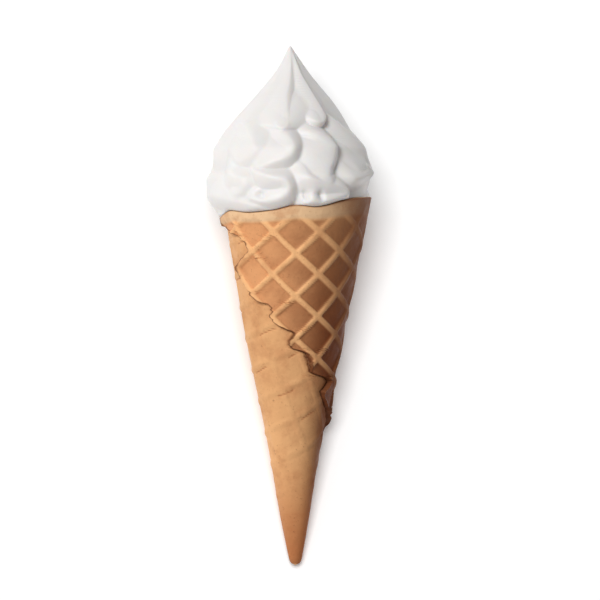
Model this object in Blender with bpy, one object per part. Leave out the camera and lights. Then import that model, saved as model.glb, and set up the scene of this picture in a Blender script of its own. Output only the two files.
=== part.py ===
# Soft serve cone: a rolled waffle cone filled with soft serve that is piped up in a
# fluted swirl.  Two solids: waffle_cone and soft_serve.
# The food lies on its side, on a small flat under the swirl and one at the cone's point.
import bpy
import numpy as np

MM = 0.001

# ---- waffle cone, millimetres; h is measured along the axis, 0 at the rim ----
RIM_RADIUS = 30.0
CONE_SLOPE = 0.194          # radius gained per millimetre of height
CONE_APEX = -RIM_RADIUS / CONE_SLOPE
CONE_TIP = -144.0
TIP_ROUND = 2.4
WALL = 2.2
ROLL_STEP = 1.8             # how far the rolled flap stands off the layer under it
CAVITY_END = -124.0
RIM_BAND = 4.8              # plain band under the rim
POCKET_HIGH = 17.1          # diagonals of the diamond pockets on the flat sheet
POCKET_WIDE = 18.6
POCKET_DEPTH = 1.2
POCKET_ORIGIN = (0.6, 137.4)
FAINT_RELIEF = 0.28         # share of the relief left on the flattened under layer
FLAP_FADE = 200             # degrees round the sheet over which the relief gets faint
BAND_FADE = 3.0             # the relief starts over this much under the band
POINT_FADE = 40             # and ends over this much above the filled point
EDGE_LIFT = 0.5             # the flap's edge curls up this much
EDGE_LIFT_RUN = 8           # degrees that the curl takes
RIPPLE = 0.25               # the rolled sheet isn't quite round
ROUND_FROM = 30             # this far over its point the cone is plain and round
RIM_FADE = 12               # depth over which rows turn from the rim's line to level
GAP = 0.35                  # between soft serve and waffle

# rim height round the cone: the sheet was rolled askew
RIM = [(-90, -5.0), (-72, -3.6), (-58, -2.3), (-38, -3.2), (-17, -2.4), (2, -0.5), (15, -1.1),
       (40, 1.5), (58, 2.7), (90, 3.2), (135, 2.0), (180, -0.5), (225, -3.5)]
# angle of the flap's torn edge at each height
FLAP_EDGE = [(0, -92), (-4.3, -88), (-11, -65), (-13.5, -51), (-16, -45), (-19, -45), (-22, -57),
             (-26, -64), (-30, -59), (-35, -48), (-38, -41), (-39.5, -29), (-42, -23.5),
             (-44.5, -25), (-48.5, -15), (-50.5, -1), (-52.5, 1), (-54, -5), (-57, -4),
             (-58.2, 12), (-62.5, 22), (-67, 27), (-69, 55), (-71, 63), (-74.5, 50), (-78, 59),
             (-84, 90), (-100, 150), (-120, 185), (-146, 215)]
# sideways bow of the cone, from the point up to the rim
BOW = [(-144, 0), (-95, -0.1), (-52, -0.8), (-15, -0.2), (3, 0)]

# ---- soft serve ----
SWIRL_TIP = 63.6
# the swirl's middle wanders a little to one side of the cone's axis: (height, aside)
LEAN = [(-5, 0), (0, -0.7), (6, -1.4), (14, -1.3), (21, -2.2), (29, -2.2), (44, -1.3),
        (54, -1.4), (64, -2.2)]
# how the swirl rounds in to the rim: (height above the rim, radius)
FOOT = [(-1, 29), (0, 30.6), (0.8, 32.4), (2, 34.2), (4, 37), (8, 42), (100, 90)]
# the swirl's greatest radius at each height
OUTLINE = [(64, 0), (63.6, 0.15), (62.8, 0.6), (60, 2.3), (57, 4.2), (53.6, 6.4), (47.2, 11.6),
           (40.8, 17.2), (34.9, 22), (31, 25), (26.8, 28), (22, 30.8), (18.4, 31.2),
           (14.8, 32), (10, 34.3), (5, 33.9), (1, 33.6), (-3, 32.5)]
CORE_DEPTH = 4.5            # how far inside that the cream lies between folds
FULL_SIZE = 25              # where the swirl's radius is less, crests are sharper in step
CREST_ROUND = 1.9
BLEND = 0.7                 # rounding where folds meet
FOOT_BLEND = 1.2            # and where they meet the foot
THINNEST = 0.02             # radius at the very tip
START_RUN = 10              # length over which a crest comes out from under another fold
END_RUN = 4                 # length over which a hooked end sinks in again
# small hollows and one curl, as a soft machine leaves: (angle, height, half width, half
# height, depth)
DIMPLES = [(-22.5, 3.6, 3.2, 1.4, 1.5), (20.5, 3, 1.8, 2.0, 1.4), (9, 3, 1.6, 1.8, 1.1),
           (14.5, 3.2, 3.0, 2.2, -1.0)]


def fold(crest, gentle, steep, steep_end=None, sink=0.0, lift=0.0, sink_end=0.0):
    """One fold of cream.  Its crest runs down through points (angle, height).  It slopes off
    gently on the side of smaller angles and steeply on the other.  The crest starts sunk
    under the fold above, lifts towards its end, and may sink in again just there."""
    return dict(crest=crest, gentle=gentle, steep=steep, steep_end=steep_end or steep,
                sink=sink, lift=lift, sink_end=sink_end)


FOLDS = [
    # ribs that are drawn up to the peak; the two in the middle hook back at their ends
    fold([(-5, 63), (-6, 57.5), (-7, 49.5), (-9, 43), (-6, 38), (-3, 34.5), (-3, 31.4),
          (-6.5, 30), (-11, 31), (-15, 33.5)], 0.18, 0.9, 2.4, lift=1.3, sink_end=2.5),
    fold([(30, 63), (28, 57.5), (29, 52), (33, 46.5), (35, 41.5), (37, 37.5), (36, 34.5),
          (31, 32.6), (25, 33), (19, 34.5)], 0.4, 1.2, 2.4, lift=1.3, sink_end=2.5),
    fold([(-48, 63), (-48, 57), (-48, 49.5), (-51, 43), (-52, 37), (-52, 32)], 0.12, 0.25, 0.6),
    fold([(-90, 63), (-88, 45), (-86, 33), (-84, 26)], 0.15, 0.15, 0.3),
    fold([(98, 63), (98, 45), (95, 36), (92, 30), (90, 27)], 0.32, 0.4, 0.8, lift=-2.2),
    # upper folds
    fold([(-55, 33), (-39, 29), (-30, 24.5), (-28, 21), (-32, 18.5), (-40, 17)],
         0.2, 0.6, sink=2.0),
    fold([(-19, 31), (-8.6, 28.9), (-1.4, 26.5), (2.5, 23.2), (1, 20), (-5.5, 17.8),
          (-12, 16.8), (-24, 14.5)], 0.32, 1.2, sink=3.4),
    fold([(13, 32), (21, 29), (29.5, 26.7), (35, 23.7), (35, 20.5), (31, 16.8), (27, 14),
          (25, 11), (27, 9)], 0.32, 1.2, sink=3.4),
    fold([(53, 33), (60, 30.5), (66, 27.5), (70, 23), (71, 18.5), (66, 15), (56, 13.5)],
         0.35, 1.1, sink=1.0),
    fold([(90, 27), (86, 23), (86, 19), (92, 15)], 0.4, 0.8, sink=1.0),
    fold([(-92, 28), (-84, 23), (-80, 18), (-88, 14)], 0.15, 0.3, 0.5, sink=1.0),
    # lower folds
    fold([(-33, 16.5), (-28, 13.5), (-20, 11.5), (-11, 10), (-5, 9), (-2, 6.5), (-4, 4),
          (-10, 2), (-20, 1), (-30, 2)], 0.5, 1.3, sink=2.5),
    fold([(7, 15), (9, 13.5), (12, 10.5), (18, 8.3), (26, 7.3), (34, 6.8), (40, 5), (38, 3),
          (32, 1.5), (22, 0), (14, -0.5)], 0.5, 1.3, sink=2.5, lift=0.4),
    fold([(84, 13), (72, 12.5), (60, 11.5), (48, 10)], 0.4, 1.2),
    fold([(-54, 16.5), (-46, 12.5), (-37, 9), (-36, 6), (-41, 4)], 0.3, 0.7, sink=1.5),
    fold([(-82, 17), (-86, 12), (-84, 8), (-84, 4)], 0.25, 0.5, sink=1.0, lift=0.6),
    fold([(-29, -1), (-42, 1), (-58, 2.5), (-74, 4)], 0.5, 0.5),
]
# the same folds, plainer, round the back: angles of their noses and crests from there
BACK_NOSES = [128, 166, 204, 242]
BACK_FOLDS = [
    fold([(0, 63), (0, 45), (-3, 35), (2, 31), (-8, 30)], 0.3, 0.6, 1.5),
    fold([(-18, 31), (-7, 27), (2, 22), (-6, 18), (-15, 15)], 0.4, 1.2, sink=3.0),
    fold([(-26, 16), (-14, 11), (0, 8), (3, 5), (-6, 2), (-18, 1)], 0.5, 1.2, sink=2.5),
]

# ---- rest ----
REST_TILT = 11.3            # degrees that the axis rises towards the swirl
AXIS_HEIGHT = 30.92         # of the rim's middle above the ground, along z

# ---- mesh spacing ----
FRONT = 104                 # the side that shows, degrees either way
FRONT_STEP = 4.0
BACK_STEP = 8.0
PEAK_RINGS = [0.008, 0.03, 0.065, 0.11, 0.17, 0.24, 0.31, 0.38, 0.44]
FOLD_RINGS = np.linspace(0.48, 1, 23)
INSIDE_RINGS = [0, 0.06, 0.5, 1]
CONE_COLUMNS = 51
EDGE_CLEAR = 2.5            # no column comes closer than this to the flap's edge
EDGE_WIDTH = 0.6
EDGE_SLANT = 36             # the edge's angle never changes more than this between rows


def curve(points, x):
    """Smooth curve through the points with no overshoot, held flat past its ends."""
    points = np.array(sorted(points), float)
    xs, ys = points[:, 0], points[:, 1]
    step = np.diff(xs)
    rise = np.diff(ys) / step
    slope = np.zeros_like(ys)
    slope[0], slope[-1] = rise[0], rise[-1]
    for i in range(1, len(xs) - 1):
        if rise[i - 1] * rise[i] > 0:
            before = 2 * step[i] + step[i - 1]
            after = step[i] + 2 * step[i - 1]
            slope[i] = (before + after) / (before / rise[i - 1] + after / rise[i])
    x = np.clip(x, xs[0], xs[-1])
    k = np.clip(np.searchsorted(xs, x) - 1, 0, len(step) - 1)
    t = (x - xs[k]) / step[k]
    value = ys[k] * (1 + 2 * t) * (1 - t) ** 2 + step[k] * slope[k] * t * (1 - t) ** 2
    return value + ys[k + 1] * t * t * (3 - 2 * t) + step[k] * slope[k + 1] * t * t * (t - 1)


def turned(angle):
    """Angle in degrees brought into -180 to 180."""
    return (angle + 180) % 360 - 180


def around(points, angle):
    """Smooth closed curve of the angle."""
    laps = [(a + lap, v) for lap in (-360, 0, 360) for a, v in points]
    return curve(laps, turned(angle))


def blend_max(a, b, width):
    """The greater of two surfaces, rounded over where they cross."""
    share = np.clip(0.5 + 0.5 * (a - b) / width, 0, 1)
    return b * (1 - share) + a * share + width * share * (1 - share)


def smooth_path(points, steps=5):
    """A Catmull-Rom curve through the points, with some steps between each two."""
    points = np.array(points, float)
    ends = np.concatenate([[2 * points[0] - points[1]], points, [2 * points[-1] - points[-2]]])
    place = np.linspace(0, len(points) - 1, (len(points) - 1) * steps + 1)
    k = np.minimum(place.astype(int), len(points) - 2)
    t = (place - k)[:, None]
    a, b, c, d = ends[k], ends[k + 1], ends[k + 2], ends[k + 3]
    return 0.5 * (2 * b + (c - a) * t + (2 * a - 5 * b + 4 * c - d) * t * t
                  + (3 * b - a - 3 * c + d) * t ** 3)


def fold_surface(fold, angle, h):
    """Radius of one fold's surface, which slopes off on both sides of the crest."""
    path = smooth_path(fold["crest"])
    outline = curve(OUTLINE, path[:, 1])
    step = np.hypot(np.radians(np.diff(path[:, 0])) * outline[1:], np.diff(path[:, 1]))
    length = np.concatenate([[0], np.cumsum(step)])
    late = (length / length[-1]) ** 4
    steep = fold["steep"] + (fold["steep_end"] - fold["steep"]) * late
    stands = fold["lift"] * late - fold["sink"] * np.clip(1 - length / START_RUN, 0, 1) ** 2
    stands -= fold["sink_end"] * np.clip(1 - (length[-1] - length) / END_RUN, 0, 1) ** 2
    here = curve(OUTLINE, h)
    degree = np.radians(1) * np.maximum(here, 0.3)
    best = np.full(h.shape, -np.inf)
    for i in range(len(path) - 1):
        (angle_a, h_a), (angle_b, h_b) = path[i], path[i + 1]
        run, rise = (angle_b - angle_a) * degree, h_b - h_a
        x, y = turned(angle - angle_a) * degree, h - h_a
        t = np.clip((x * run + y * rise) / (run * run + rise * rise), 0, 1)
        away = np.hypot(x - t * run, y - t * rise)
        radius = np.minimum(outline[i] + t * (outline[i + 1] - outline[i]), here)
        radius += stands[i] + t * (stands[i + 1] - stands[i])
        round_by = CREST_ROUND * np.clip(radius / FULL_SIZE, 0.02, 1)
        steep_here = steep[i] + t * (steep[i + 1] - steep[i])
        to_left = (run * y - rise * x) / (np.hypot(run, rise) * np.maximum(away, 0.001))
        share = 0.5 + 0.5 * np.clip(to_left, -1, 1)
        slope = fold["gentle"] + (steep_here - fold["gentle"]) * share
        best = np.maximum(best, radius - slope * (np.hypot(away, round_by) - round_by))
    return best


def all_folds():
    """The plain folds round the back, then the front ones."""
    for nose in BACK_NOSES:
        for shape in BACK_FOLDS:
            yield dict(shape, crest=[(nose + a, h) for a, h in shape["crest"]])
    yield from FOLDS


def swirl_radius(angle, h):
    """Outer radius of the soft serve, from its core, its folds, its dimples and its foot."""
    angle, h = np.broadcast_arrays(angle, h)
    outline = curve(OUTLINE, h)
    r = outline - CORE_DEPTH * np.clip(outline / FULL_SIZE, 0, 1)
    for one in all_folds():
        angles, heights = np.array(one["crest"], float).T
        reach = CORE_DEPTH / one["gentle"] + 2
        middle = (angles.max() + angles.min()) / 2
        spread = (angles.max() - angles.min()) / 2 + np.degrees(reach / FULL_SIZE)
        near = np.abs(turned(angle - middle)) < spread
        near &= (h < heights.max() + reach) & (h > heights.min() - reach)
        r[near] = blend_max(r[near], fold_surface(one, angle[near], h[near]), BLEND)
    for middle, height, wide, high, depth in DIMPLES:
        r -= depth * np.exp(-(turned(angle - middle) / wide) ** 2 - ((h - height) / high) ** 2)
    foot = curve(FOOT, h - around(RIM, angle))
    return np.maximum(-blend_max(-r, -foot, FOOT_BLEND), THINNEST)


def cone_base(h):
    """Radius of the plain cone, rounded off at its point."""
    side = CONE_SLOPE * (h - CONE_APEX)
    up = np.clip((h - CONE_TIP) / TIP_ROUND, 0, 1)
    return side * np.sqrt(np.clip(1 - (1 - up) ** 2, 0, 1))


def pocket_relief(angle, h):
    """Depth of the pressed diamond pockets, 0 on the ribs between them.  They are square to
    the flat sheet, so the angle runs on past 180 where the sheet rolls on under itself."""
    lean = np.arctan(CONE_SLOPE)
    slant = (h - CONE_APEX) / np.cos(lean)
    turn = np.radians(angle) * np.sin(lean)
    x = slant * np.sin(turn) - POCKET_ORIGIN[0]
    y = slant * np.cos(turn) - POCKET_ORIGIN[1]
    a = np.abs(np.sin(np.pi * (y / POCKET_HIGH + x / POCKET_WIDE)))
    b = np.abs(np.sin(np.pi * (y / POCKET_HIGH - x / POCKET_WIDE)))
    return POCKET_DEPTH * np.clip(1.25 * (a * b) ** 0.75 - 0.1, 0, 1)


def relief_strength(wrap, level, h):
    """Full on the flap, faint on the layer under it, none on the band and at the point."""
    flap = np.clip(1.15 - wrap / FLAP_FADE, 0, 1) ** 2
    band = np.clip((1 - RIM_BAND - level) / BAND_FADE, 0, 1)
    point = np.clip((h - CAVITY_END) / POINT_FADE, 0, 1)
    return (FAINT_RELIEF + (1 - FAINT_RELIEF) * flap) * band * point


def rolled_radius(wrap, angle, h):
    """Outer radius of the rolled sheet without its relief; wrap runs 0 to 360 from the
    flap's edge round to under it."""
    roll = ROLL_STEP * (0.5 - wrap / 360)
    ripple = RIPPLE * np.sin(np.radians(2 * angle + 40) + h / 19)
    lift = EDGE_LIFT * np.exp(-wrap / EDGE_LIFT_RUN)
    return cone_base(h) + (roll + ripple + lift) * np.clip((h - CONE_TIP) / ROUND_FROM, 0, 1)


def cone_radius(wrap, level, angle, h):
    """Outer radius of the sheet with its relief; level is the height below the rim."""
    return rolled_radius(wrap, angle, h) - relief_strength(wrap, level, h) * pocket_relief(angle, h)


def new_object(name, points, faces, colour, roughness):
    mesh = bpy.data.meshes.new(name)
    mesh.from_pydata((points * MM).tolist(), [], faces)
    mesh.update()
    mesh.shade_smooth()
    mesh.set_sharp_from_angle(angle=np.radians(50))
    thing = bpy.data.objects.new(name, mesh)
    bpy.context.scene.collection.objects.link(thing)
    material = bpy.data.materials.new(name)
    material.use_nodes = True
    shader = material.node_tree.nodes["Principled BSDF"]
    shader.inputs["Base Color"].default_value = (*colour, 1)
    shader.inputs["Roughness"].default_value = roughness
    mesh.materials.append(material)


def ring(angle, h, r, lean=0.0):
    """Points round the axis; angle 0 faces +z and 90 faces +x."""
    rad = np.radians(angle)
    x = lean + curve(BOW, h) + r * np.sin(rad)
    return np.stack([x, h + 0 * rad, r * np.cos(rad)], -1)


def strip(faces, above, below, points, lead):
    """Triangles between two rows, each across the shorter diagonal; neither row gets ahead
    of the other by more than the lead, a share of its length."""
    i, j = 0, 0
    last_i, last_j = len(above) - 1, len(below) - 1
    while i < last_i or j < last_j:
        ahead = i / last_i - j / last_j
        if i == last_i or ahead > lead:
            go_above = False
        elif j == last_j or ahead < -lead:
            go_above = True
        else:
            to_above = np.linalg.norm(points[above[i + 1]] - points[below[j]])
            to_below = np.linalg.norm(points[above[i]] - points[below[j + 1]])
            go_above = to_above < to_below
        if go_above:
            faces.append((above[i], below[j], above[i + 1]))
            i += 1
        else:
            faces.append((above[i], below[j], below[j + 1]))
            j += 1


def closed_skin(start, rings, end, lead):
    """Points and faces of a closed skin over a row of rings, with a point at each end."""
    points = np.concatenate([[start], *rings, [end]])
    rows = []
    count = 1
    for this in rings:
        row = list(range(count, count + len(this)))
        rows.append(row + row[:1])
        count += len(this)
    faces = [(0, a, b) for a, b in zip(rows[0], rows[0][1:])]
    for above, below in zip(rows, rows[1:]):
        strip(faces, above, below, points, lead)
    faces += [(count, b, a) for a, b in zip(rows[-1], rows[-1][1:])]
    return points, faces


def soft_serve_skin():
    """The swirl down to its foot on the rim, then the filling inside the cone."""
    front = np.arange(-FRONT, FRONT + 0.01, FRONT_STEP)
    back_count = int(round((360 - 2 * FRONT) / BACK_STEP))
    back = np.linspace(FRONT, 360 - FRONT, back_count + 1)[1:-1]
    angle = np.concatenate([front, back])
    foot = around(RIM, angle) + GAP
    rings = []
    for part in [*PEAK_RINGS, *FOLD_RINGS]:
        h = SWIRL_TIP + (foot - SWIRL_TIP) * part
        rings.append(ring(angle, h, swirl_radius(angle, h), curve(LEAN, h)))
    for part in INSIDE_RINGS:
        h = foot + (CAVITY_END + 0.6 - foot) * part
        rings.append(ring(angle, h, cone_base(h) - WALL - GAP))
    start = (curve(LEAN, SWIRL_TIP), SWIRL_TIP, 0)
    return closed_skin(start, rings, (0, CAVITY_END - 0.2, 0), 0.5 / len(angle))


def waffle_row(level):
    """Angles round one row of the sheet, from the flap's edge round to under it."""
    edge = curve(FLAP_EDGE, level)
    columns = np.arange(-360, 720, 360 / CONE_COLUMNS)
    columns = columns[(columns > edge + EDGE_CLEAR) & (columns < edge + 360 - EDGE_CLEAR)]
    angle = np.concatenate([[edge], columns, [edge + 360 - EDGE_WIDTH]])
    h = level + around(RIM, angle) * np.clip(1 + level / RIM_FADE, 0, 1)
    return angle, angle - edge, h


def waffle_cone_skin():
    """The sheet's inside from the filled point up, the rim, then the outside down."""
    angle, wrap, rim = waffle_row(0)
    rings = []
    for level in [CAVITY_END, -80, -40, -RIM_FADE]:
        rings.append(ring(angle, level, cone_base(level) - WALL))
    rings.append(ring(angle, rim, cone_base(rim) - WALL))
    rings.append(ring(angle, rim, cone_radius(wrap, 0, angle, rim) - 0.5))
    for level in [-0.5, *np.linspace(-3.2, -72, 28), *np.linspace(-79, -139, 8), -142, -143.4]:
        angle, wrap, h = waffle_row(level)
        rings.append(ring(angle, h, cone_radius(wrap, level, angle, h)))
    return closed_skin((0, CAVITY_END - 1, 0), rings, (0, CONE_TIP, 0), EDGE_SLANT / 360)


def laid_down(points):
    """On its side, with the axis along +y and rising towards the swirl; what would lie under
    the ground is pressed flat."""
    tilt = np.radians(REST_TILT)
    x, y, z = points.T
    ahead = y * np.cos(tilt) - z * np.sin(tilt)
    up = AXIS_HEIGHT + y * np.sin(tilt) + z * np.cos(tilt)
    return np.stack([x, ahead, np.maximum(up, 0)], -1)


for thing in list(bpy.data.objects):
    bpy.data.objects.remove(thing, do_unlink=True)

swirl, swirl_faces = soft_serve_skin()
cone, cone_faces = waffle_cone_skin()
swirl, cone = laid_down(swirl), laid_down(cone)
both = np.concatenate([swirl, cone])
middle = (both.max(0) + both.min(0)) / 2
for points in (swirl, cone):
    points[:, :2] -= middle[:2]

new_object("soft_serve", swirl, swirl_faces, (0.83, 0.81, 0.78), 0.45)
new_object("waffle_cone", cone, cone_faces, (0.52, 0.25, 0.12), 0.6)
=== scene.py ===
import bpy
import numpy as np
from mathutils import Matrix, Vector


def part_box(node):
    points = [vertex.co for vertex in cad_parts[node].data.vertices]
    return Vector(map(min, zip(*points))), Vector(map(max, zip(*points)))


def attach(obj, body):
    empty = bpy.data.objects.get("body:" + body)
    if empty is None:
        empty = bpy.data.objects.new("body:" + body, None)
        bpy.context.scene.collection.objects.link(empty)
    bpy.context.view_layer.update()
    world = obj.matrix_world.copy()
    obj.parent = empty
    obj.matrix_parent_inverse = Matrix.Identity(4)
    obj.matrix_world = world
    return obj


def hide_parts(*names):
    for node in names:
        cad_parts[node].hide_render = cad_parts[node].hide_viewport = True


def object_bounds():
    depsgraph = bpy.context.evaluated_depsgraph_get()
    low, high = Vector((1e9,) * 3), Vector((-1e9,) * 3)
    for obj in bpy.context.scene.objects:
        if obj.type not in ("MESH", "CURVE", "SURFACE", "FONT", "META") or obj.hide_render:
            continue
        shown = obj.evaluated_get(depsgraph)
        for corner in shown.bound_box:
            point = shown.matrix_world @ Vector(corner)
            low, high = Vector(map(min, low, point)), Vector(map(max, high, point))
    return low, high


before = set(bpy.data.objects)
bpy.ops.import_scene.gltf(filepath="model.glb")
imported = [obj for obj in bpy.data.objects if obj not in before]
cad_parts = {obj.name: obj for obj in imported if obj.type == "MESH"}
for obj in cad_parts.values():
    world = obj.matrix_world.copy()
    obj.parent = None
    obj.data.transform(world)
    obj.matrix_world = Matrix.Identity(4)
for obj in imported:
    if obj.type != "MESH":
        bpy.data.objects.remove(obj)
cad_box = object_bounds()

MM = 0.001

# ---- waffle cone, millimetres; h is measured along the axis, 0 at the rim ----
RIM_RADIUS = 30.0
CONE_SLOPE = 0.194          # radius gained per millimetre of height
CONE_APEX = -RIM_RADIUS / CONE_SLOPE
CONE_TIP = -144.0
TIP_ROUND = 2.4
WALL = 2.2
ROLL_STEP = 1.8             # how far the rolled flap stands off the layer under it
CAVITY_END = -124.0
RIM_BAND = 4.8              # plain band under the rim
POCKET_HIGH = 17.1          # diagonals of the diamond pockets on the flat sheet
POCKET_WIDE = 18.6
POCKET_DEPTH = 1.2
POCKET_ORIGIN = (0.6, 137.4)
FAINT_RELIEF = 0.28         # share of the relief left on the flattened under layer
FLAP_FULL = 1.15            # over one, so the relief is full at first and gets faint then
FLAP_FADE = 200             # degrees round the sheet over which the relief gets faint
BAND_LAP = 1                # the relief starts this far up inside the band
BAND_FADE = 3.0             # and grows over this depth
POINT_FADE = 40             # and ends over this much above the filled point
EDGE_LIFT = 0.5             # the flap's edge curls up this much
EDGE_LIFT_RUN = 8           # degrees that the curl takes
RIPPLE = 0.25               # the rolled sheet isn't quite round
RIPPLE_START = 40           # degrees by which its waves are shifted
RIPPLE_TWIST = 19           # height over which the ripple turns on by a radian
ROUND_FROM = 30             # from this far over the point down, the cone gets plain and round
RIM_FADE = 12               # depth over which rows turn from the rim's line to level
GAP = 0.35                  # between soft serve and waffle

# rim height round the cone: the sheet was rolled askew
RIM = [(-90, -5.0), (-72, -3.6), (-58, -2.3), (-38, -3.2), (-17, -2.4), (2, -0.5), (15, -1.1),
       (40, 1.5), (58, 2.7), (90, 3.2), (135, 2.0), (180, -0.5), (225, -3.5)]
# angle of the flap's torn edge at each height
FLAP_EDGE = [(0, -92), (-4.3, -88), (-11, -65), (-13.5, -51), (-16, -45), (-19, -45), (-22, -57),
             (-26, -64), (-30, -59), (-35, -48), (-38, -41), (-39.5, -29), (-42, -23.5),
             (-44.5, -25), (-48.5, -15), (-50.5, -1), (-52.5, 1), (-54, -5), (-57, -4),
             (-58.2, 12), (-62.5, 22), (-67, 27), (-69, 55), (-71, 63), (-74.5, 50), (-78, 59),
             (-84, 90), (-100, 150), (-120, 185), (-146, 215)]
# sideways bow of the cone, from the point up to the rim
BOW = [(-144, 0), (-95, -0.1), (-52, -0.8), (-15, -0.2), (3, 0)]

# ---- soft serve ----
SWIRL_TIP = 63.6
# the swirl's middle wanders a little to one side of the cone's axis: (height, aside)
LEAN = [(-5, 0), (0, -0.7), (6, -1.4), (14, -1.3), (21, -2.2), (29, -2.2), (44, -1.3),
        (54, -1.4), (64, -2.2)]
# how the swirl rounds in to the rim: (height above the rim, radius)
FOOT = [(-1, 29), (0, 30.6), (0.8, 32.4), (2, 34.2), (4, 37), (8, 42), (100, 90)]
# the swirl's greatest radius at each height
OUTLINE = [(64, 0), (63.6, 0.15), (62.8, 0.6), (60, 2.3), (57, 4.2), (53.6, 6.4), (47.2, 11.6),
           (40.8, 17.2), (34.9, 22), (31, 25), (26.8, 28), (22, 30.8), (18.4, 31.2),
           (14.8, 32), (10, 34.3), (5, 33.9), (1, 33.6), (-3, 32.5)]
CORE_DEPTH = 4.5            # how far inside that the cream lies between folds
FULL_SIZE = 25              # where the swirl's radius is less, crests are sharper in step
CREST_ROUND = 1.9
BLEND = 0.7                 # rounding where folds meet
FOOT_BLEND = 1.2            # and where they meet the foot
THINNEST = 0.02             # radius at the very tip
START_RUN = 10              # length over which a crest comes out from under another fold
END_RUN = 4                 # length over which a hooked end sinks in again
LATE = 4                    # power of the length by which a fold gets steeper at its end
LEAST_RADIUS = 0.3          # for measuring round the swirl near its tip
LEAST_AWAY = 0.001          # for telling the sides of a crest apart on the crest itself
LEAST_ROUND = 0.02          # share of the rounding that crests keep at the tip
REACH_SPARE = 2             # width past a fold's own slope that is worked out with it
# small hollows and one curl, as a soft machine leaves: (angle, height, half width, half
# height, depth)
DIMPLES = [(-22.5, 3.6, 3.2, 1.4, 1.5), (20.5, 3, 1.8, 2.0, 1.4), (9, 3, 1.6, 1.8, 1.1),
           (14.5, 3.2, 3.0, 2.2, -1.0)]

# ---- rest: where the cone's axis lies in the frame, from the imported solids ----
REST_TILT = 11.3            # degrees that the axis rises towards the swirl
AXIS_HEIGHT = 30.92         # of the rim's middle above the floor
WAFFLE_RIGHT = 30.27        # the waffle's right side, from the axis
AXIS_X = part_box("waffle_cone")[1].x / MM - WAFFLE_RIGHT
AXIS_Y = cad_box[1].y / MM - SWIRL_TIP * np.cos(np.radians(REST_TILT))

# ---- fine meshes ----
CREAM_COLUMNS = 440
CREAM_ROWS = 208
FIRST_ROW = 0.004           # share of the way from the tip down to the foot
TOUCH = 0.05                # the cream's foot above the rim
FILLING_ROWS = (0, 0.06, 0.5, 1)
FILLING_END = 0.6           # the filling's last row above the cavity's end
FILLING_POINT = 0.2         # and its point below it
SHEET_COLUMNS = 400
SHEET_ROWS = 220
SHEET_TURN = 359.7          # degrees from the flap's edge round to just under it
EDGE_CROWDING = 0.6         # columns are closer together beside the flap's edge
# the waffle's rows: levels under the rim, on its inside upwards and its outside downwards
INSIDE_LEVELS = (CAVITY_END, -80, -40, -RIM_FADE)
INSIDE_POINT = 1            # the inside's point below the cavity's end
LIP_RISE = 0.02             # a row along the middle of the lip stands this much higher
LIP_IN = 0.7                # and lies this far inside its outer side
OUTSIDE_LEVELS = (-0.25, -0.6, *np.linspace(-1, -139, SHEET_ROWS), -141, -142.4, -143.3)
SHARP = 50                  # degrees between faces that make a sharp edge

# ---- fine relief of the waffle ----
RIB_HALF = 0.40             # flat half width of the ribs between pockets
POCKET_SIDE = 1.3           # width of a pocket's sloping side
TORN = 1.0                  # degrees of fine raggedness along the flap's edge
RAGGED = [(1, 2.3, 0), (0.6, 5.9, 1), (0.4, 13.1, 2)]   # its waves: size, fineness, start
# plain course of the flap's edge, which columns far from the edge follow
EDGE_TREND = [(0, -92), (-20, -58), (-40, -35), (-60, 8), (-84, 85), (-110, 165), (-146, 215)]
EDGE_REACH = 60             # degrees over which columns turn from the edge to its plain course
CREASE_AT = 1.9             # fold lines of the under layer, beside its flattened ribs
CREASE_WAVE = 0.25          # they wave this much to the sides
CREASE_WAVE_TURN = 9        # in degrees for each radian of the wave
CREASE_HALF = 0.4
CREASE_DEPTH = 0.35
CREASE_BAND = 2             # depth below the plain band over which they start
CREASE_SHARE = 0.6          # waves break them up: this and (size, degrees, height) of each
CREASE_GAPS = [(1, 17, 3), (0.7, 7, -5)]
UNDER_FROM = 200            # degrees round the sheet where the under layer starts
UNDER_FADE = 60
CREVICE_WIDTH = 0.9         # the gap under the flap's edge
CREVICE_DEPTH = 0.7
SIDE_LEAST = 0.35           # the painted shadow along the torn edge widens towards the sides, by one over this at most

# ---- marks that the waffle's material reads ----
MARKS = ("pocket", "wrap", "below_rim", "crease_side", "torn_side", "turn")
UNMARKED = 9.0              # further from a line than the line shows
NO_MARKS = (0.0, 0.5, 0.0, UNMARKED, UNMARKED, 0.0)

# ---- the icy crest at the swirl's right: its middle, and how far it spreads ----
ICY_TURN = 74
ICY_TURN_HALF = 16
ICY_HEIGHT = 13
ICY_HEIGHT_HALF = 4.5
SWIRL_ASIDE = -1.5          # the swirl's own middle there

# ---- colours ----
CREAM_DEEP = (0.78, 0.755, 0.735, 1)
CREAM_PALE = (0.82, 0.80, 0.785, 1)
RIB_UNDER = (0.78, 0.42, 0.19, 1)
RIB_FLAP = (0.90, 0.49, 0.225, 1)
POCKET_PALE = (0.74, 0.35, 0.155, 1)
# painted shade: the dark brown that the pockets and the whole right side turn to, on the side
# away from the light
RIGHT_SIDE_SHADE_BROWN = (0.17, 0.045, 0.014, 1)
BAND = (0.82, 0.54, 0.31, 1)
TOASTED = (0.52, 0.22, 0.095, 1)
BAKED_POINT = (0.46, 0.15, 0.052, 1)
RIM_LINE = (0.28, 0.10, 0.045, 1)
PORE = (0.25, 0.09, 0.04, 1)
# painted shadow of the narrow gap under the flap's torn edge
TORN_EDGE_SHADOW = (0.17, 0.055, 0.022, 1)
CREASE_LINE = (0.42, 0.15, 0.06, 1)
FLOOR = (0.96, 0.96, 0.96, 1)
WHITE = (1, 1, 1, 1)

# ---- camera: straight down on the cone's axis, millimetres ----
CAMERA_DISTANCE = 2000
CAMERA_AIM = (1.8, -38.0)   # point that the camera looks at, across and along the axis
VIEW_WIDTH = 240
SENSOR = 36
CLIP_START = 0.01           # metres

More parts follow.
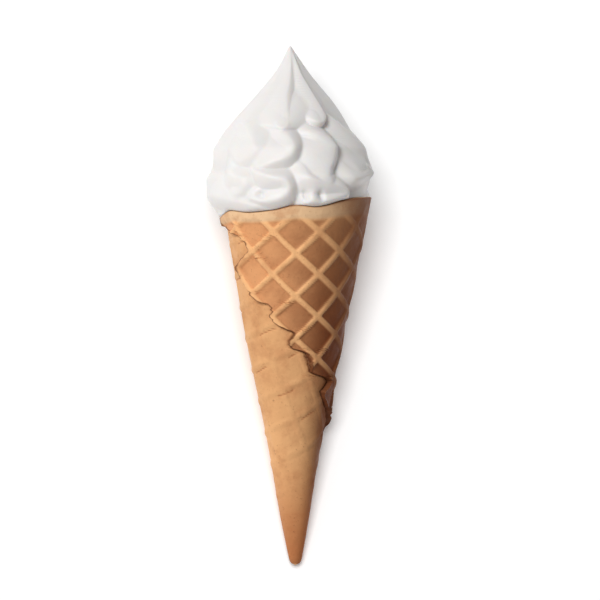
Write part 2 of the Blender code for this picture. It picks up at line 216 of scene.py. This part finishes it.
# ---- light and floor, metres and watts ----
LEFT_LIGHT = 0.46           # the studio's brightness on the left and on the right
RIGHT_LIGHT = 0.22
LEFT_FROM = -0.9            # the part of the sky over which it changes
RIGHT_FROM = 0.7
LIGHTS_AIM = (0, 0.02, 0.03)
KEY_AT = (-0.28, 0.14, 0.70)
KEY_SIZE = 0.22
KEY_POWER = 3.8
TOP_AT = (-0.06, 0.04, 0.80)
TOP_SIZE = 0.40
TOP_POWER = 5.0
FLOOR_HALF = 3.0
FLOOR_DROP = 0.0001         # keeps the floor clear of the food's flats
FLOOR_GLOW = 0.10


def fold(crest, gentle, steep, steep_end=None, sink=0.0, lift=0.0, sink_end=0.0):
    """One fold of cream.  Its crest runs down through points (angle, height).  It slopes off
    gently on the side of smaller angles and steeply on the other.  The crest starts sunk
    under the fold above, lifts towards its end, and may sink in again just there."""
    return dict(crest=crest, gentle=gentle, steep=steep, steep_end=steep_end or steep,
                sink=sink, lift=lift, sink_end=sink_end)


FOLDS = [
    # ribs that are drawn up to the peak; the two in the middle hook back at their ends
    fold([(-5, 63), (-6, 57.5), (-7, 49.5), (-9, 43), (-6, 38), (-3, 34.5), (-3, 31.4),
          (-6.5, 30), (-11, 31), (-15, 33.5)], 0.18, 0.9, 2.4, lift=1.3, sink_end=2.5),
    fold([(30, 63), (28, 57.5), (29, 52), (33, 46.5), (35, 41.5), (37, 37.5), (36, 34.5),
          (31, 32.6), (25, 33), (19, 34.5)], 0.4, 1.2, 2.4, lift=1.3, sink_end=2.5),
    fold([(-48, 63), (-48, 57), (-48, 49.5), (-51, 43), (-52, 37), (-52, 32)], 0.12, 0.25, 0.6),
    fold([(-90, 63), (-88, 45), (-86, 33), (-84, 26)], 0.15, 0.15, 0.3),
    fold([(98, 63), (98, 45), (95, 36), (92, 30), (90, 27)], 0.32, 0.4, 0.8, lift=-2.2),
    # upper folds
    fold([(-55, 33), (-39, 29), (-30, 24.5), (-28, 21), (-32, 18.5), (-40, 17)],
         0.2, 0.6, sink=2.0),
    fold([(-19, 31), (-8.6, 28.9), (-1.4, 26.5), (2.5, 23.2), (1, 20), (-5.5, 17.8),
          (-12, 16.8), (-24, 14.5)], 0.32, 1.2, sink=3.4),
    fold([(13, 32), (21, 29), (29.5, 26.7), (35, 23.7), (35, 20.5), (31, 16.8), (27, 14),
          (25, 11), (27, 9)], 0.32, 1.2, sink=3.4),
    fold([(53, 33), (60, 30.5), (66, 27.5), (70, 23), (71, 18.5), (66, 15), (56, 13.5)],
         0.35, 1.1, sink=1.0),
    fold([(90, 27), (86, 23), (86, 19), (92, 15)], 0.4, 0.8, sink=1.0),
    fold([(-92, 28), (-84, 23), (-80, 18), (-88, 14)], 0.15, 0.3, 0.5, sink=1.0),
    # lower folds
    fold([(-33, 16.5), (-28, 13.5), (-20, 11.5), (-11, 10), (-5, 9), (-2, 6.5), (-4, 4),
          (-10, 2), (-20, 1), (-30, 2)], 0.5, 1.3, sink=2.5),
    fold([(7, 15), (9, 13.5), (12, 10.5), (18, 8.3), (26, 7.3), (34, 6.8), (40, 5), (38, 3),
          (32, 1.5), (22, 0), (14, -0.5)], 0.5, 1.3, sink=2.5, lift=0.4),
    fold([(84, 13), (72, 12.5), (60, 11.5), (48, 10)], 0.4, 1.2),
    fold([(-54, 16.5), (-46, 12.5), (-37, 9), (-36, 6), (-41, 4)], 0.3, 0.7, sink=1.5),
    fold([(-82, 17), (-86, 12), (-84, 8), (-84, 4)], 0.25, 0.5, sink=1.0, lift=0.6),
    fold([(-29, -1), (-42, 1), (-58, 2.5), (-74, 4)], 0.5, 0.5),
]
# the same folds, plainer, round the back: angles of their noses and crests from there
BACK_NOSES = [128, 166, 204, 242]
BACK_FOLDS = [
    fold([(0, 63), (0, 45), (-3, 35), (2, 31), (-8, 30)], 0.3, 0.6, 1.5),
    fold([(-18, 31), (-7, 27), (2, 22), (-6, 18), (-15, 15)], 0.4, 1.2, sink=3.0),
    fold([(-26, 16), (-14, 11), (0, 8), (3, 5), (-6, 2), (-18, 1)], 0.5, 1.2, sink=2.5),
]


def curve(points, x):
    """Smooth curve through the points with no overshoot, held flat past its ends."""
    points = np.array(sorted(points), float)
    xs, ys = points[:, 0], points[:, 1]
    step = np.diff(xs)
    rise = np.diff(ys) / step
    slope = np.zeros_like(ys)
    slope[0], slope[-1] = rise[0], rise[-1]
    for i in range(1, len(xs) - 1):
        if rise[i - 1] * rise[i] > 0:
            before = 2 * step[i] + step[i - 1]
            after = step[i] + 2 * step[i - 1]
            slope[i] = (before + after) / (before / rise[i - 1] + after / rise[i])
    x = np.clip(x, xs[0], xs[-1])
    k = np.clip(np.searchsorted(xs, x) - 1, 0, len(step) - 1)
    t = (x - xs[k]) / step[k]
    value = ys[k] * (1 + 2 * t) * (1 - t) ** 2 + step[k] * slope[k] * t * (1 - t) ** 2
    return value + ys[k + 1] * t * t * (3 - 2 * t) + step[k] * slope[k + 1] * t * t * (t - 1)


def turned(angle):
    """Angle in degrees brought into -180 to 180."""
    return (angle + 180) % 360 - 180


def around(points, angle):
    """Smooth closed curve of the angle."""
    laps = [(a + lap, v) for lap in (-360, 0, 360) for a, v in points]
    return curve(laps, turned(angle))


def blend_max(a, b, width):
    """The greater of two surfaces, rounded over where they cross."""
    share = np.clip(0.5 + 0.5 * (a - b) / width, 0, 1)
    return b * (1 - share) + a * share + width * share * (1 - share)


def smooth_path(points, steps=5):
    """A Catmull-Rom curve through the points, with some steps between each two."""
    points = np.array(points, float)
    ends = np.concatenate([[2 * points[0] - points[1]], points, [2 * points[-1] - points[-2]]])
    place = np.linspace(0, len(points) - 1, (len(points) - 1) * steps + 1)
    k = np.minimum(place.astype(int), len(points) - 2)
    t = (place - k)[:, None]
    a, b, c, d = ends[k], ends[k + 1], ends[k + 2], ends[k + 3]
    return 0.5 * (2 * b + (c - a) * t + (2 * a - 5 * b + 4 * c - d) * t * t
                  + (3 * b - a - 3 * c + d) * t ** 3)


def fold_surface(fold, angle, h):
    """Radius of one fold's surface, which slopes off on both sides of the crest."""
    path = smooth_path(fold["crest"])
    outline = curve(OUTLINE, path[:, 1])
    step = np.hypot(np.radians(np.diff(path[:, 0])) * outline[1:], np.diff(path[:, 1]))
    length = np.concatenate([[0], np.cumsum(step)])
    late = (length / length[-1]) ** LATE
    steep = fold["steep"] + (fold["steep_end"] - fold["steep"]) * late
    stands = fold["lift"] * late - fold["sink"] * np.clip(1 - length / START_RUN, 0, 1) ** 2
    stands -= fold["sink_end"] * np.clip(1 - (length[-1] - length) / END_RUN, 0, 1) ** 2
    here = curve(OUTLINE, h)
    degree = np.radians(1) * np.maximum(here, LEAST_RADIUS)
    best = np.full(h.shape, -np.inf)
    for i in range(len(path) - 1):
        (angle_a, h_a), (angle_b, h_b) = path[i], path[i + 1]
        run, rise = (angle_b - angle_a) * degree, h_b - h_a
        x, y = turned(angle - angle_a) * degree, h - h_a
        t = np.clip((x * run + y * rise) / (run * run + rise * rise), 0, 1)
        away = np.hypot(x - t * run, y - t * rise)
        radius = np.minimum(outline[i] + t * (outline[i + 1] - outline[i]), here)
        radius += stands[i] + t * (stands[i + 1] - stands[i])
        round_by = CREST_ROUND * np.clip(radius / FULL_SIZE, LEAST_ROUND, 1)
        steep_here = steep[i] + t * (steep[i + 1] - steep[i])
        to_left = (run * y - rise * x) / (np.hypot(run, rise) * np.maximum(away, LEAST_AWAY))
        share = 0.5 + 0.5 * np.clip(to_left, -1, 1)
        slope = fold["gentle"] + (steep_here - fold["gentle"]) * share
        best = np.maximum(best, radius - slope * (np.hypot(away, round_by) - round_by))
    return best


def all_folds():
    """The plain folds round the back, then the front ones."""
    for nose in BACK_NOSES:
        for shape in BACK_FOLDS:
            yield dict(shape, crest=[(nose + a, h) for a, h in shape["crest"]])
    yield from FOLDS


def swirl_radius(angle, h):
    """Outer radius of the soft serve, from its core, its folds, its dimples and its foot."""
    angle, h = np.broadcast_arrays(angle, h)
    outline = curve(OUTLINE, h)
    r = outline - CORE_DEPTH * np.clip(outline / FULL_SIZE, 0, 1)
    for one in all_folds():
        angles, heights = np.array(one["crest"], float).T
        reach = CORE_DEPTH / one["gentle"] + REACH_SPARE
        middle = (angles.max() + angles.min()) / 2
        spread = (angles.max() - angles.min()) / 2 + np.degrees(reach / FULL_SIZE)
        near = np.abs(turned(angle - middle)) < spread
        near &= (h < heights.max() + reach) & (h > heights.min() - reach)
        r[near] = blend_max(r[near], fold_surface(one, angle[near], h[near]), BLEND)
    for middle, height, wide, high, depth in DIMPLES:
        r -= depth * np.exp(-(turned(angle - middle) / wide) ** 2 - ((h - height) / high) ** 2)
    foot = curve(FOOT, h - around(RIM, angle))
    return np.maximum(-blend_max(-r, -foot, FOOT_BLEND), THINNEST)


def cone_base(h):
    """Radius of the plain cone, rounded off at its point."""
    side = CONE_SLOPE * (h - CONE_APEX)
    up = np.clip((h - CONE_TIP) / TIP_ROUND, 0, 1)
    return side * np.sqrt(np.clip(1 - (1 - up) ** 2, 0, 1))


def relief_strength(wrap, level, h):
    """Full on the flap, faint on the layer under it, none on the band and at the point;
    wrap runs 0 to 360 from the flap's edge round to under it."""
    flap = np.clip(FLAP_FULL - wrap / FLAP_FADE, 0, 1) ** 2
    band = np.clip((BAND_LAP - RIM_BAND - level) / BAND_FADE, 0, 1)
    point = np.clip((h - CAVITY_END) / POINT_FADE, 0, 1)
    return (FAINT_RELIEF + (1 - FAINT_RELIEF) * flap) * band * point


def rolled_radius(wrap, angle, h):
    """Outer radius of the rolled sheet without its relief."""
    roll = ROLL_STEP * (0.5 - wrap / 360)
    ripple = RIPPLE * np.sin(np.radians(2 * angle + RIPPLE_START) + h / RIPPLE_TWIST)
    lift = EDGE_LIFT * np.exp(-wrap / EDGE_LIFT_RUN)
    return cone_base(h) + (roll + ripple + lift) * np.clip((h - CONE_TIP) / ROUND_FROM, 0, 1)


def ring(angle, h, r, lean=0.0):
    """Points round the axis; angle 0 faces +z and 90 faces +x."""
    rad = np.radians(angle)
    x = lean + curve(BOW, h) + r * np.sin(rad)
    return np.stack([x, h + 0 * rad, r * np.cos(rad)], -1)


def placed(points):
    """From the cone's own axes, in millimetres, to the frame's, in metres, lying down."""
    tilt = np.radians(REST_TILT)
    x, y, z = np.asarray(points, float).reshape(-1, 3).T
    ahead = y * np.cos(tilt) - z * np.sin(tilt)
    up = y * np.sin(tilt) + z * np.cos(tilt)
    return (np.stack([x, ahead, up], -1) + (AXIS_X, AXIS_Y, AXIS_HEIGHT)) * MM


def skin_faces(rows, columns):
    """Faces over rows of points, counted from 1, and round a point at each end."""
    i = 1 + np.arange(rows - 1)[:, None] * columns
    j = np.arange(columns)[None, :]
    after = (j + 1) % columns
    quads = np.stack([i + j, i + columns + j, i + columns + after, i + after], -1)
    last = rows * columns + 1
    low = last - columns
    start = [(0, 1 + a, 1 + (a + 1) % columns) for a in range(columns)]
    end = [(last, low + (a + 1) % columns, low + a) for a in range(columns)]
    return quads.reshape(-1, 4).tolist() + start + end


def piece(name, node, points, columns, material, marks):
    """A closed skin, pressed flat where it would go through the floor, over its CAD node."""
    world = placed(points)
    world[:, 2] = np.maximum(world[:, 2], 0)
    mesh = bpy.data.meshes.new(name)
    mesh.from_pydata(world.tolist(), [], skin_faces((len(points) - 2) // columns, columns))
    mesh.update()
    mesh.shade_smooth()
    mesh.set_sharp_from_angle(angle=np.radians(SHARP))
    for mark, values in marks.items():
        layer = mesh.attributes.new(mark, "FLOAT", "POINT")
        layer.data.foreach_set("value", np.asarray(values, np.float32))
    mesh.materials.append(material)
    thing = bpy.data.objects.new(name, mesh)
    bpy.context.scene.collection.objects.link(thing)
    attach(thing, "root")
    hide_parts(node)
    return thing


def soft_serve(material):
    """The swirl down to its foot on the rim, then the filling inside the cone."""
    angle = np.linspace(-180, 180, CREAM_COLUMNS, endpoint=False)
    foot = around(RIM, angle) + TOUCH
    rings = []
    for part in np.linspace(FIRST_ROW, 1, CREAM_ROWS):
        h = SWIRL_TIP + (foot - SWIRL_TIP) * part
        rings.append(ring(angle, h, swirl_radius(angle, h), curve(LEAN, h)))
    for part in FILLING_ROWS:
        h = foot + (CAVITY_END + FILLING_END - foot) * part
        rings.append(ring(angle, h, cone_base(h) - WALL - GAP))
    start = [(curve(LEAN, SWIRL_TIP), SWIRL_TIP, 0)]
    end = [(0, CAVITY_END - FILLING_POINT, 0)]
    points = np.concatenate([start, *rings, end])
    x, h, z = points.T
    turn = np.degrees(np.arctan2(x - SWIRL_ASIDE, z))
    across = (turn - ICY_TURN) / ICY_TURN_HALF
    along = (h - ICY_HEIGHT) / ICY_HEIGHT_HALF
    return piece("soft_serve_swirl", "soft_serve", points, CREAM_COLUMNS,
                 material, {"icy": np.exp(-across ** 2 - along ** 2)})


def rib_offset(across, along):
    """Signed distance to the nearest rib of one set, in millimetres on the flat sheet."""
    spacing = 1 / np.hypot(1 / POCKET_HIGH, 1 / POCKET_WIDE)
    line = along / POCKET_HIGH + across / POCKET_WIDE
    return (line - np.round(line)) * spacing


def flat_sheet(angle, h):
    """A point's place on the sheet before it was rolled, across and along."""
    lean = np.arctan(CONE_SLOPE)
    slant = (h - CONE_APEX) / np.cos(lean)
    turn = np.radians(angle) * np.sin(lean)
    return slant * np.sin(turn) - POCKET_ORIGIN[0], slant * np.cos(turn) - POCKET_ORIGIN[1]


def pocket_shape(across, along):
    """0 on the ribs and 1 on the floor of each pressed diamond pocket."""
    a = np.clip((np.abs(rib_offset(across, along)) - RIB_HALF) / POCKET_SIDE, 0, 1)
    b = np.clip((np.abs(rib_offset(-across, along)) - RIB_HALF) / POCKET_SIDE, 0, 1)
    return (a * a * (3 - 2 * a)) * (b * b * (3 - 2 * b))


def sheet_wraps():
    """Degrees from the flap's edge round to under it, closer together beside the edge."""
    part = np.linspace(0, 1, SHEET_COLUMNS)
    return SHEET_TURN * (part - EDGE_CROWDING / (2 * np.pi) * np.sin(2 * np.pi * part))


def sheet_angles(wrap, level):
    """Angles of one row's columns.  They follow the torn edge beside it, and its plain
    course further round."""
    ragged = sum(size * np.sin(level * fineness + start) for size, fineness, start in RAGGED)
    trend = curve(EDGE_TREND, level)
    edge = curve(FLAP_EDGE, level) + TORN * ragged
    beside = np.exp(-(wrap / EDGE_REACH) ** 2) + np.exp(-((360 - wrap) / EDGE_REACH) ** 2)
    return trend + wrap + (edge - trend) * beside


def crease_lines(across, along, wrap, level, angle, h):
    """Distance to the under layer's nearest crease, and where there are any, 0 to 1."""
    side = rib_offset(across, along) + CREASE_WAVE * np.sin(angle / CREASE_WAVE_TURN) + CREASE_AT
    waves = (size * np.sin(angle / turn + h / high) for size, turn, high in CREASE_GAPS)
    broken = np.clip(sum(waves, CREASE_SHARE), 0, 1)
    under = np.clip((wrap - UNDER_FROM) / UNDER_FADE, 0, 1)
    return side, broken * (under * np.clip((-RIM_BAND - level) / CREASE_BAND, 0, 1))


def sheet_surface(level):
    """One row of the rolled sheet's outside: its points, and its marks for the looks."""
    wrap = sheet_wraps()
    angle = sheet_angles(wrap, level)
    h = level + around(RIM, angle) * np.clip(1 + level / RIM_FADE, 0, 1)
    across, along = flat_sheet(angle, h)
    pocket = pocket_shape(across, along) * relief_strength(wrap, level, h)
    side, broken = crease_lines(across, along, wrap, level, angle, h)
    crease = np.exp(-(side / CREASE_HALF) ** 2) * broken
    arc = np.radians(1) * cone_base(h)
    crevice = np.exp(-((360 - wrap) * arc / CREVICE_WIDTH) ** 2)
    crevice *= np.clip((h - CONE_TIP) / ROUND_FROM, 0, 1)
    r = rolled_radius(wrap, angle, h) - POCKET_DEPTH * pocket
    r -= CREASE_DEPTH * crease + CREVICE_DEPTH * crevice
    # distance across the torn edge, which places the painted shadow along it
    torn_side = np.where(wrap < 180, wrap, wrap - 360) * arc
    torn_side *= np.clip(np.cos(np.radians(angle)), SIDE_LEAST, 1)
    crease_side = np.abs(side) + UNMARKED * (1 - broken) ** 2
    below = np.full(len(wrap), -level)
    marks = [pocket, wrap / 360, below, crease_side, torn_side, turned(angle)]
    return ring(angle, h, r), np.stack(marks, -1)


def waffle_cone(material):
    """The sheet's inside from the filled point up, the rim, then the outside down."""
    angle = curve(FLAP_EDGE, 0.0) + sheet_wraps()
    rim = around(RIM, angle)
    rings = []
    for level in INSIDE_LEVELS:
        rings.append(ring(angle, level, cone_base(level) - WALL))
    rings.append(ring(angle, rim, cone_base(rim) - WALL))
    rings.append(ring(angle, rim + LIP_RISE, cone_base(rim) - LIP_IN))
    marks = [np.tile(NO_MARKS, (SHEET_COLUMNS, 1))] * len(rings)
    for level in OUTSIDE_LEVELS:
        row, row_marks = sheet_surface(level)
        rings.append(row)
        marks.append(row_marks)
    points = np.concatenate([[(0, CAVITY_END - INSIDE_POINT, 0)], *rings, [(0, CONE_TIP, 0)]])
    marks = np.concatenate([[NO_MARKS], *marks, [NO_MARKS]])
    return piece("rolled_waffle_cone", "waffle_cone", points, SHEET_COLUMNS,
                 material, dict(zip(MARKS, marks.T)))


class Nodes:
    """Short calls to build a material's nodes."""

    def __init__(self, name):
        self.material = bpy.data.materials.new(name)
        self.material.use_nodes = True
        self.tree = self.material.node_tree
        self.shader = self.tree.nodes["Principled BSDF"]
        self.where = self.tree.nodes.new("ShaderNodeTexCoord").outputs["Object"]

    def put(self, socket, value):
        """Links a socket, or sets a constant."""
        if isinstance(value, bpy.types.NodeSocket):
            self.tree.links.new(value, socket)
        else:
            socket.default_value = value

    def shade(self, name, value):
        """Sets or links one of the shader's inputs."""
        self.put(self.shader.inputs[name], value)

    def mark(self, name):
        """A value that the mesh holds for each point."""
        node = self.tree.nodes.new("ShaderNodeAttribute")
        node.attribute_name = name
        return node.outputs["Fac"]

    def noise(self, scale, detail, rough=0.55):
        """Soft noise, 0 to 1, with about this many spots to a metre."""
        node = self.tree.nodes.new("ShaderNodeTexNoise")
        node.inputs["Scale"].default_value = scale
        node.inputs["Detail"].default_value = detail
        node.inputs["Roughness"].default_value = rough
        self.put(node.inputs["Vector"], self.where)
        return node.outputs["Fac"]

    def spread(self, value, low, high, to_low=0.0, to_high=1.0):
        """Turns low to high into to_low to to_high, with soft ends."""
        node = self.tree.nodes.new("ShaderNodeMapRange")
        node.interpolation_type = "SMOOTHSTEP"
        for socket, given in zip(node.inputs, (value, low, high, to_low, to_high)):
            self.put(socket, given)
        return node.outputs["Result"]

    def math(self, kind, a, b=0.0):
        node = self.tree.nodes.new("ShaderNodeMath")
        node.operation = kind
        self.put(node.inputs[0], a)
        self.put(node.inputs[1], b)
        return node.outputs["Value"]

    def mix(self, share, a, b):
        """Colour a, or b where the share is 1."""
        node = self.tree.nodes.new("ShaderNodeMix")
        node.data_type = "RGBA"
        self.put(node.inputs["Factor"], share)
        self.put(node.inputs["A"], a)
        self.put(node.inputs["B"], b)
        return node.outputs["Result"]

    def bump(self, height, strength, distance, under=None):
        """Fine relief, this many metres high at full strength."""
        node = self.tree.nodes.new("ShaderNodeBump")
        node.inputs["Distance"].default_value = distance
        self.put(node.inputs["Strength"], strength)
        self.put(node.inputs["Height"], height)
        if under:
            self.put(node.inputs["Normal"], under)
        return node.outputs["Normal"]


def cream_material():
    """Smooth soft serve that lets a little light in, with an icy crest at its right."""
    nodes = Nodes("soft_serve_cream")
    nodes.shade("Base Color", nodes.mix(nodes.noise(90, 3), CREAM_DEEP, CREAM_PALE))
    nodes.shade("Subsurface Weight", 0.6)
    nodes.shade("Subsurface Radius", (1.0, 0.72, 0.5))
    nodes.shade("Subsurface Scale", 0.0018)
    nodes.shade("Specular IOR Level", 0.35)
    nodes.shade("Roughness", nodes.spread(nodes.noise(900, 2), 0.3, 0.7, 0.38, 0.52))
    fine = nodes.bump(nodes.noise(420, 3), 0.10, 0.0006)
    icy = nodes.bump(nodes.noise(1500, 4), nodes.mark("icy"), 0.0014, fine)
    nodes.shade("Normal", icy)
    return nodes.material


def waffle_colour(nodes, mottle, fine):
    """Pale ribs and band, pockets with painted shade that darkens them towards the right,
    painted shade over the whole right side, and a toasted point; then dark lines along the
    rim and the creases, and a painted shadow along the torn edge."""
    below, turn = nodes.mark("below_rim"), nodes.mark("turn")
    rib = nodes.mix(nodes.spread(nodes.mark("wrap"), 0.75, 0.35), RIB_UNDER, RIB_FLAP)
    # painted shade: pockets turn darker towards the right, away from the light, the change
    # shifted a little by mottle
    shade_towards_right = nodes.math("ADD", turn, nodes.spread(mottle, 0.2, 0.8, -12, 12))
    pit = nodes.mix(nodes.spread(shade_towards_right, -45, 60), POCKET_PALE, RIGHT_SIDE_SHADE_BROWN)
    colour = nodes.mix(nodes.spread(nodes.mark("pocket"), 0.15, 0.8), rib, pit)
    colour = nodes.mix(nodes.spread(below, 6.5, 4.5), colour, BAND)
    spots = nodes.math("MULTIPLY", nodes.spread(mottle, 0.42, 0.72), 0.5)
    colour = nodes.mix(spots, colour, TOASTED)
    # painted shade over the whole right side of the waffle, away from the light
    colour = nodes.mix(nodes.spread(turn, 5, 70, 0, 0.88), colour, RIGHT_SIDE_SHADE_BROWN)
    colour = nodes.mix(nodes.spread(below, 90, 142, 0, 0.85), colour, BAKED_POINT)
    colour = nodes.mix(nodes.spread(below, 0.8, 0.3, 0, 0.6), colour, RIM_LINE)
    colour = nodes.mix(nodes.spread(fine, 0.60, 0.75, 0, 0.5), colour, PORE)
    # painted shadow: a dark strip along the flap's torn edge, where the gap under the flap lies
    edge = nodes.math("ABSOLUTE", nodes.math("SUBTRACT", nodes.mark("torn_side"), 0.05))
    torn_shadow_width = nodes.spread(mottle, 0.35, 0.65, 0.45, 1.1)
    colour = nodes.mix(nodes.spread(edge, torn_shadow_width, 0.1, 0, 0.85), colour, TORN_EDGE_SHADOW)
    crease = nodes.spread(nodes.mark("crease_side"), 0.6, 0.1, 0, 0.7)
    return nodes.mix(crease, colour, CREASE_LINE)


def waffle_material():
    """Baked waffle, mottled, with fine pores."""
    nodes = Nodes("baked_waffle")
    mottle = nodes.noise(110, 4, 0.6)
    fine = nodes.noise(900, 4, 0.6)
    nodes.shade("Base Color", waffle_colour(nodes, mottle, fine))
    nodes.shade("Roughness", nodes.spread(mottle, 0.3, 0.7, 0.40, 0.60))
    nodes.shade("Specular IOR Level", 0.05)
    broad = nodes.bump(nodes.noise(260, 3), 0.35, 0.0012)
    nodes.shade("Normal", nodes.bump(fine, 0.30, 0.0005, broad))
    return nodes.material


def floor_material():
    """Matt white that glows a little, so that the floor shows as white."""
    nodes = Nodes("pale_floor")
    nodes.shade("Base Color", FLOOR)
    nodes.shade("Roughness", 0.9)
    nodes.shade("Specular IOR Level", 0.0)
    nodes.shade("Emission Color", WHITE)
    nodes.shade("Emission Strength", FLOOR_GLOW)
    return nodes.material


def floor():
    mesh = bpy.data.meshes.new("floor")
    corners = [(-1, -1), (1, -1), (1, 1), (-1, 1)]
    points = [(FLOOR_HALF * x, FLOOR_HALF * y, 0) for x, y in corners]
    mesh.from_pydata(points, [], [(0, 1, 2, 3)])
    mesh.materials.append(floor_material())
    thing = bpy.data.objects.new("floor", mesh)
    thing.location.z = -FLOOR_DROP
    bpy.context.scene.collection.objects.link(thing)
    return thing


def area_light(name, at, size, power, lit):
    """A square light that lights only the objects given."""
    light = bpy.data.lights.new(name, "AREA")
    light.size = size
    light.energy = power
    thing = bpy.data.objects.new(name, light)
    thing.location = at
    aim = Vector(LIGHTS_AIM) - Vector(at)
    thing.rotation_euler = aim.to_track_quat("-Z", "Y").to_euler()
    bpy.context.scene.collection.objects.link(thing)
    group = bpy.data.collections.new(name + "_lights")
    for other in lit:
        group.objects.link(other)
    thing.light_linking.receiver_collection = group


def sky():
    """A white world that is brighter on the left."""
    world = bpy.data.worlds.new("soft_white")
    world.use_nodes = True
    tree = world.node_tree
    direction = tree.nodes.new("ShaderNodeTexCoord")
    parts = tree.nodes.new("ShaderNodeSeparateXYZ")
    side = tree.nodes.new("ShaderNodeMapRange")
    side.inputs["From Min"].default_value = LEFT_FROM
    side.inputs["From Max"].default_value = RIGHT_FROM
    side.inputs["To Min"].default_value = LEFT_LIGHT
    side.inputs["To Max"].default_value = RIGHT_LIGHT
    background = tree.nodes["Background"]
    background.inputs["Color"].default_value = WHITE
    tree.links.new(direction.outputs["Generated"], parts.inputs["Vector"])
    tree.links.new(parts.outputs["X"], side.inputs["Value"])
    tree.links.new(side.outputs["Result"], background.inputs["Strength"])
    bpy.context.scene.world = world


def studio(food, table):
    bpy.context.scene.view_settings.view_transform = "Standard"
    sky()
    area_light("key", KEY_AT, KEY_SIZE, KEY_POWER, food)
    area_light("top", TOP_AT, TOP_SIZE, TOP_POWER, [table])


def camera():
    data = bpy.data.cameras.new("camera")
    data.sensor_width = SENSOR
    data.lens = SENSOR * CAMERA_DISTANCE / VIEW_WIDTH
    data.clip_start = CLIP_START
    thing = bpy.data.objects.new("camera", data)
    eye, target = placed([(*CAMERA_AIM, CAMERA_DISTANCE), (*CAMERA_AIM, 0)])
    thing.location = eye
    thing.rotation_euler = Vector(target - eye).to_track_quat("-Z", "Y").to_euler()
    bpy.context.scene.collection.objects.link(thing)
    bpy.context.scene.camera = thing


table = floor()
camera()
food = [soft_serve(cream_material()), waffle_cone(waffle_material())]
studio(food, table)
